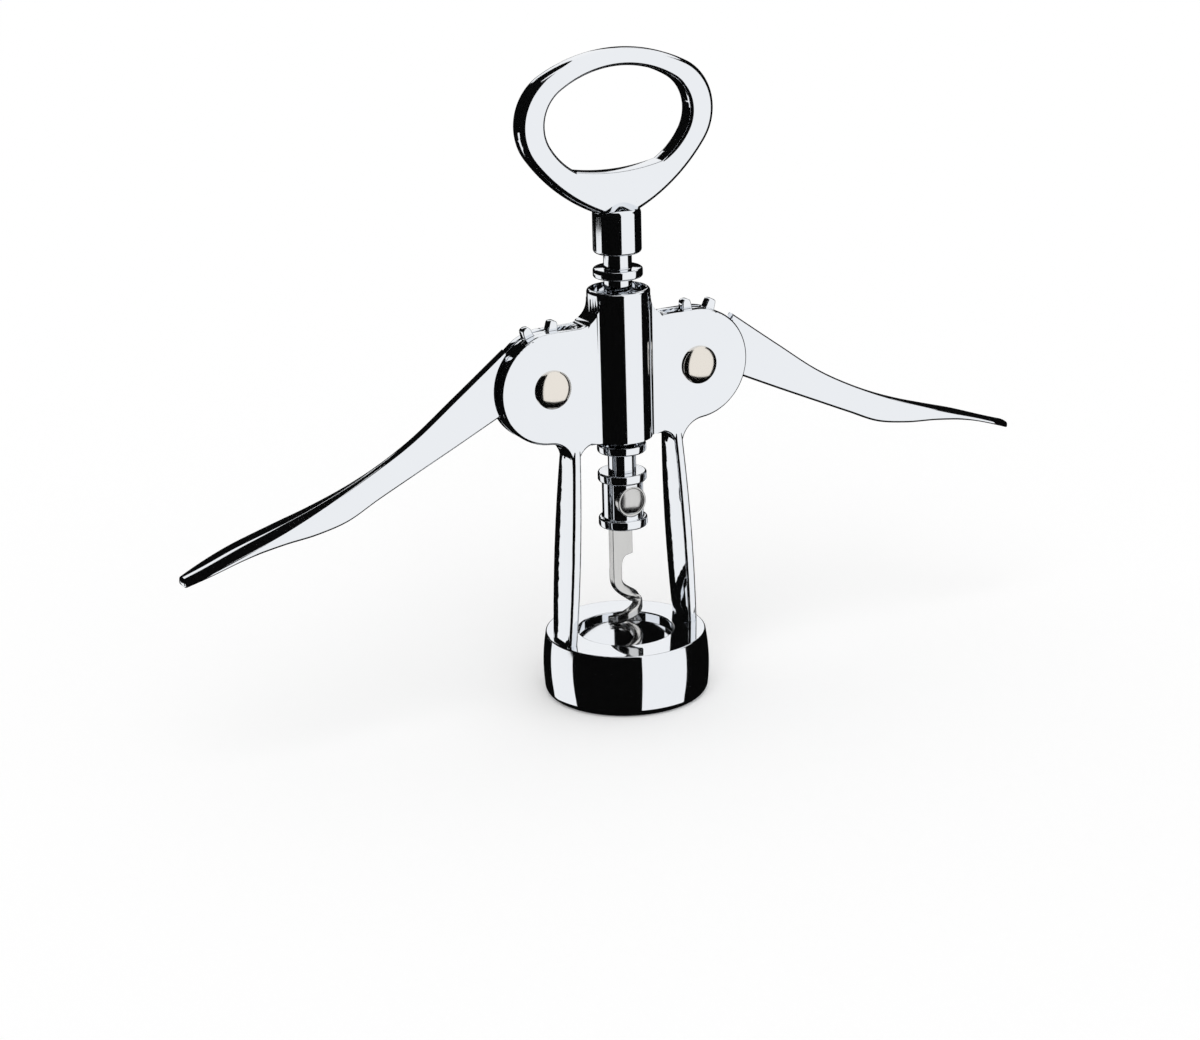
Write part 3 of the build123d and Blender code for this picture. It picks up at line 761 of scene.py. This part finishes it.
class CORKSCREW_OT_worm(bpy.types.Operator):
    """Worm: a flat tang stepped down to one edge, its wire bent into an open right-hand helix with a point"""

    bl_idname = "corkscrew.worm"
    bl_label = "Worm"

    wire, helix, pitch, rings, sides = 1.2, 3.1, 9.2, 900, 64
    # Cross-over: the shank's place and top, the height at which the wire leaves it and the drop from there to
    # the helix, then the bearing at which the helix starts and the lean to the back on leaving the shank
    shank_x, shank_top, bend, run_in = -2.4, 37.0, 29.3, 7.0
    entry, lean = math.radians(-30), 0.2
    # Point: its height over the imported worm's, the length that narrows and the share of the wire that is left
    point_lift, point_run, point_share = 0.25, 15.0, 0.03
    # Section: the superellipse's power at the shank, what it loses and over which drop, and the slimmer top
    square, rounding, rounding_drop = 10.0, 7.0, 14.0
    slim_from, slim_share = 31.0, 0.12
    left, right, top, step, foot, thickness = -3.6, 1.9, 52.4, 35.0, 31.5, 2.3
    step_width, step_drop, step_rise, step_points = 1.6, 3.2, 0.3, 16
    # Tang: inside the wire's faces, with the rounds of its shank, its step and its shoulder
    tang_inset, tang_edge, tang_steps = 0.03, 0.2, 6
    shank_round, step_round, shoulder_round = 0.2, 0.02, 0.3

    def strand(self):
        """Bar round a centre line that falls straight down the shank, crosses over and then winds.

        Over the run-in the line is the Bezier curve from the shank to the helix's entry, taken at the square
        of the depth's share and leaving the shank tangent; its last arm is as long as gives the helix's own
        rate there. Below it x and y are the helix's radius times the cosine and sine of a bearing that turns
        evenly. The section is a superellipse of radius (|cos t|^n + |sin t|^n)^(-1/n), nearly square at the
        shank and rounder below, and narrows to a point.
        """
        z = np.linspace(self.shank_top, WORM_LOW[2] + self.point_lift, self.rings)
        depth = np.clip(self.bend - z, 0, None)
        share = np.clip(depth / self.run_in, 0, 1)[:, None]
        bearing = self.entry - 2 * np.pi / self.pitch * np.clip(depth - self.run_in, 0, None)
        radial = np.stack([np.cos(bearing), np.sin(bearing)], -1)
        arm = np.pi * self.helix * self.run_in / (3 * self.pitch)
        start, end = np.array([self.shank_x, 0.0]), self.helix * radial[0]
        leave = start + arm * np.array([1.0, self.lean])
        arrive = end + arm * np.array([-np.sin(self.entry), np.cos(self.entry)])
        t = share**2
        early = (1 - t) ** 3 * start + 3 * (1 - t) ** 2 * t * leave
        late = 3 * (1 - t) * t**2 * arrive + t**3 * end
        flat = np.where(share < 1, early + late, self.helix * radial)
        line = np.concatenate([flat, z[:, None]], 1)
        along = unit_rows(np.gradient(line, axis=0))
        blend = share**2 * (3 - 2 * share)
        out = (1 - blend) * np.array([0.0, 1.0]) - blend * radial
        out = np.concatenate([out, 0 * z[:, None]], 1)
        out = unit_rows(out - (out * along).sum(1, keepdims=True) * along)
        side = np.cross(along, out)
        lengths = np.linalg.norm(np.diff(line[::-1], axis=0), axis=1)
        from_point = np.concatenate([np.cumsum(lengths)[::-1], [0]])
        narrowed = np.sqrt(np.clip(from_point / self.point_run, 0, 1))
        taper = (narrowed * (1 - self.point_share) + self.point_share)[:, None]
        t = np.linspace(0, 2 * np.pi, self.sides, endpoint=False)
        power = self.square - self.rounding * np.clip(depth / self.rounding_drop, 0, 1)[:, None]
        reach = (np.abs(np.cos(t)) ** power + np.abs(np.sin(t)) ** power) ** (-1 / power) * taper
        height_share = np.clip((z - self.slim_from) / (self.shank_top - self.slim_from), 0, 1)
        slimmed = 1 - self.slim_share * height_share[:, None]
        ring = out[:, None] * np.cos(t)[None, :, None] + side[:, None] * np.sin(t)[None, :, None]
        return line[:, None] + ring * (self.wire * slimmed * reach)[..., None]

    def tang(self):
        """Outline of the tang in X and Z, carried along Y: its step is a quarter of an ellipse."""
        left = self.left + self.tang_inset
        inner = self.left + 2 * self.wire - self.tang_inset
        a = np.linspace(0, np.pi / 2, self.step_points)
        start = np.array([self.right - self.step_width, self.step - self.step_drop])
        hollow = start + np.stack([(inner - start[0]) * np.cos(a), self.step_drop * np.sin(a)], -1)
        shank = [(left, self.top), (left, self.foot), (inner, self.foot)]
        shoulder = [(self.right, self.step + self.step_rise), (self.right, self.top)]
        corners = np.concatenate([shank, hollow, shoulder])
        counts = (len(shank), len(hollow), len(shoulder))
        radii = np.repeat([self.shank_round, self.step_round, self.shoulder_round], counts)
        return prism(rounded(corners, radii, self.tang_steps), self.thickness / 2, self.tang_edge)

    def execute(self, context):
        tang = shell("tang", self.tang(), wrap_rows=False, capped=True)
        strand = shell("strand", self.strand(), wrap_rows=False, capped=True)
        piece = combined("worm_wire", "UNION", tang, strand)
        place(smooth(piece), "handle", "plain_steel", steel(), "worm")
        return {"FINISHED"}


class CORKSCREW_OT_rod(bpy.types.Operator):
    """Rod inside the rack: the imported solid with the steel's finish"""

    bl_idname = "corkscrew.rod"
    bl_label = "Drive rod"

    def execute(self, context):
        rod = frame["nodes"]["drive_rod"]
        rod.data.materials.clear()
        rod.data.materials.append(steel())
        return {"FINISHED"}


class CORKSCREW_OT_studio(bpy.types.Operator):
    """Studio: a pale floor, soft light from all round, dark flags for the metal to mirror, and the camera"""

    bl_idname = "corkscrew.studio"
    bl_label = "Studio"

    # Light of the sky on the pieces, and as the camera and the metal see it
    sky_light, sky_seen = 0.75, 1.0
    # Soft sun: its strength, its size and its turns about X and Y
    sun_energy, sun_size, sun_turns = 0.75, math.radians(50), (math.radians(32), math.radians(-22))
    floor_reach, floor_rings, floor_sides, floor_rough = 6.0, 24, 96, 0.9
    # Light that the floor adds for the camera alone, so that it reads as white
    floor_lift = 0.11
    sensor, nearest, farthest = 36.0, 0.01, 50.0
    flag_radius, flag_height, flag_black = 1.5, 0.085, 0.004
    sheet_columns, sheet_rows = 48, 24
    # Dark flags: from and to, in degrees to the right of the camera, then from and to above the horizon
    flags = [
        ("flag_front", -79, 21, -75, 72),
        ("flag_left", -148, -79, -11.8, 72),
        ("flag_right_back", 90, 218, -75, 5),
        ("flag_left_back", 218, 232.5, -75, -14),
        ("flag_behind_low", 160, 218, 5, 16),
        ("flag_behind_right", 90, 172, 5, 36),
        ("flag_behind_left", 192, 245, 5, 24),
        ("flag_over_left", 192, 300, 30, 90),
        ("flag_under", 0, 360, -90, -36),
    ]
    # Dark screens close by, one for the ring's walls and one for the barrel: from and to in degrees as above,
    # then from and to above the floor in metres
    screen_radius = 0.25
    screens = [
        ("screen_ring", 220, 246, 0.05, 0.097),
        ("screen_barrel", -84, -76, -0.02, 0.05),
    ]

    def world(self, scene):
        """White sky that is dimmer as a light than as a backdrop."""
        world = bpy.data.worlds.new("studio_world")
        scene.world = world
        world.use_nodes = True
        tree = world.node_tree
        sky = tree.nodes["Background"]
        sky.inputs["Color"].default_value = (1, 1, 1, 1)
        rays = tree.nodes.new("ShaderNodeLightPath")
        seen = tree.nodes.new("ShaderNodeMath")
        seen.operation = "MAXIMUM"
        either = tree.nodes.new("ShaderNodeMath")
        either.operation = "MAXIMUM"
        level = tree.nodes.new("ShaderNodeMapRange")
        level.inputs["To Min"].default_value = self.sky_light
        level.inputs["To Max"].default_value = self.sky_seen
        link(tree, rays.outputs["Is Camera Ray"], seen.inputs[0])
        link(tree, rays.outputs["Is Glossy Ray"], seen.inputs[1])
        link(tree, seen.outputs["Value"], either.inputs[0])
        link(tree, rays.outputs["Is Transmission Ray"], either.inputs[1])
        link(tree, either.outputs["Value"], level.inputs["Value"])
        link(tree, level.outputs["Result"], sky.inputs["Strength"])

    def floor(self, tint):
        """Round pale floor: x = r cos t, y = r sin t, with rings that are closer near the tool."""
        radius = self.floor_reach * np.linspace(0, 1, self.floor_rings)[:, None] ** 2 / MM
        t = np.linspace(0, 2 * np.pi, self.floor_sides, endpoint=False)[None, :]
        grid = np.stack([radius * np.cos(t), radius * np.sin(t), 0 * radius * t], -1)
        floor = shell("floor", grid, wrap_rows=False)
        material = bpy.data.materials.new("pale_floor")
        material.use_nodes = True
        tree = material.node_tree
        shader = tree.nodes["Principled BSDF"]
        shader.inputs["Base Color"].default_value = (*tint, 1)
        shader.inputs["Roughness"].default_value = self.floor_rough
        shader.inputs["Specular IOR Level"].default_value = 0.0
        shader.inputs["Emission Color"].default_value = (1, 1, 1, 1)
        rays = tree.nodes.new("ShaderNodeLightPath")
        lift = tree.nodes.new("ShaderNodeMath")
        lift.operation = "MULTIPLY"
        lift.inputs[1].default_value = self.floor_lift
        link(tree, rays.outputs["Is Camera Ray"], lift.inputs[0])
        link(tree, lift.outputs["Value"], shader.inputs["Emission Strength"])
        floor.data.materials.append(material)
        floor.visible_glossy = False

    def flag(self, name, turn_from, turn_to, low, high, azimuth):
        """Patch of a sphere round the tool: bearings and elevations as given, at one radius."""
        bearing = np.radians(np.linspace(turn_from, turn_to, self.sheet_columns))[:, None] + azimuth
        rise = np.radians(np.linspace(low, high, self.sheet_rows))[None, :]
        x = np.sin(bearing) * np.cos(rise)
        y = -np.cos(bearing) * np.cos(rise)
        grid = self.flag_radius * np.stack([x, y, np.sin(rise) + 0 * x], -1)
        self.hang(name, grid + (0, 0, self.flag_height))

    def screen(self, name, turn_from, turn_to, low, high, azimuth):
        """Patch of an upright cylinder round the tool: bearings and heights as given, at one radius."""
        bearing = np.radians(np.linspace(turn_from, turn_to, self.sheet_columns))[:, None] + azimuth
        height = np.linspace(low, high, self.sheet_rows)[None, :] + 0 * bearing
        x = self.screen_radius * np.sin(bearing) + 0 * height
        y = -self.screen_radius * np.cos(bearing) + 0 * height
        self.hang(name, np.stack([x, y, height], -1))

    def hang(self, name, grid):
        """Black sheet that only mirrors show."""
        sheet = shell(name, grid / MM, wrap_rows=False, wrap_columns=False)
        sheet.visible_camera = False
        sheet.visible_diffuse = False
        sheet.visible_shadow = False
        sheet.visible_transmission = False
        if "black_flag" not in bpy.data.materials:
            material = bpy.data.materials.new("black_flag")
            material.use_nodes = True
            shader = material.node_tree.nodes["Principled BSDF"]
            shader.inputs["Base Color"].default_value = (*[self.flag_black] * 3, 1)
            shader.inputs["Roughness"].default_value = 1.0
            shader.inputs["Specular IOR Level"].default_value = 0.0
        sheet.data.materials.append(bpy.data.materials["black_flag"])

    def camera(self, scene, studio):
        """Camera at the given distance behind its aim, turned, raised and leaned by the given angles."""
        azimuth, elevation, roll = studio.azimuth, studio.elevation, studio.roll
        level = math.cos(elevation)
        back = Vector((math.sin(azimuth) * level, -math.cos(azimuth) * level, math.sin(elevation)))
        across = Vector((math.cos(azimuth), math.sin(azimuth), 0))
        up = back.cross(across)
        right = math.cos(roll) * across + math.sin(roll) * up
        top = math.cos(roll) * up - math.sin(roll) * across
        aim = across * studio.aim_across + Vector((0, 0, studio.aim_height))
        data = bpy.data.cameras.new("photo_camera")
        data.lens = studio.lens
        data.sensor_width = self.sensor
        data.sensor_fit = "HORIZONTAL"
        data.clip_start = self.nearest
        data.clip_end = self.farthest
        camera = bpy.data.objects.new("photo_camera", data)
        facing = Matrix((right, top, back)).transposed().to_4x4()
        camera.matrix_world = Matrix.Translation(aim + back * studio.distance) @ facing
        scene.collection.objects.link(camera)
        scene.camera = camera

    def key(self, scene):
        """Soft sun from above, in front and to the left, which the metal does not mirror."""
        sun = bpy.data.lights.new("soft_key", "SUN")
        sun.energy = self.sun_energy
        sun.angle = self.sun_size
        lamp = bpy.data.objects.new("soft_key", sun)
        lamp.rotation_euler = (*self.sun_turns, 0)
        lamp.visible_glossy = False
        scene.collection.objects.link(lamp)

    def execute(self, context):
        scene, studio = context.scene, context.scene.corkscrew_studio
        self.world(scene)
        self.floor(studio.floor_tint)
        for flag in self.flags:
            self.flag(*flag, studio.azimuth)
        for screen in self.screens:
            self.screen(*screen, studio.azimuth)
        self.key(scene)
        self.camera(scene, studio)
        scene.view_settings.view_transform = "Standard"
        return {"FINISHED"}


OPERATORS = (
    CORKSCREW_OT_bell,
    CORKSCREW_OT_frame,
    CORKSCREW_OT_levers,
    CORKSCREW_OT_rivets,
    CORKSCREW_OT_rack,
    CORKSCREW_OT_handle,
    CORKSCREW_OT_chuck,
    CORKSCREW_OT_worm,
    CORKSCREW_OT_rod,
    CORKSCREW_OT_studio,
)


class CORKSCREW_PT_panel(bpy.types.Panel):
    """Lists the pieces and the settings"""

    bl_idname = "CORKSCREW_PT_panel"
    bl_label = "Corkscrew"
    bl_space_type = "VIEW_3D"
    bl_region_type = "UI"
    bl_category = "Corkscrew"

    def draw(self, context):
        for operator in OPERATORS:
            self.layout.operator(operator.bl_idname)
        for settings in ("corkscrew_sizes", "corkscrew_finish", "corkscrew_studio"):
            group = getattr(context.scene, settings)
            for name in group.bl_rna.properties.keys():
                if name not in ("rna_type", "name"):
                    self.layout.prop(group, name)


SETTINGS = (CorkscrewSizes, CorkscrewFinish, CorkscrewStudio)


def register():
    for listed in (*SETTINGS, *OPERATORS, CORKSCREW_PT_panel):
        bpy.utils.register_class(listed)
    bpy.types.Scene.corkscrew_sizes = PointerProperty(type=CorkscrewSizes)
    bpy.types.Scene.corkscrew_finish = PointerProperty(type=CorkscrewFinish)
    bpy.types.Scene.corkscrew_studio = PointerProperty(type=CorkscrewStudio)


def unregister():
    del bpy.types.Scene.corkscrew_studio
    del bpy.types.Scene.corkscrew_finish
    del bpy.types.Scene.corkscrew_sizes
    for listed in reversed((*SETTINGS, *OPERATORS, CORKSCREW_PT_panel)):
        bpy.utils.unregister_class(listed)


def main():
    register()
    for operator in OPERATORS:
        group, name = operator.bl_idname.split(".")
        getattr(getattr(bpy.ops, group), name)()


if __name__ == "__main__":
    main()
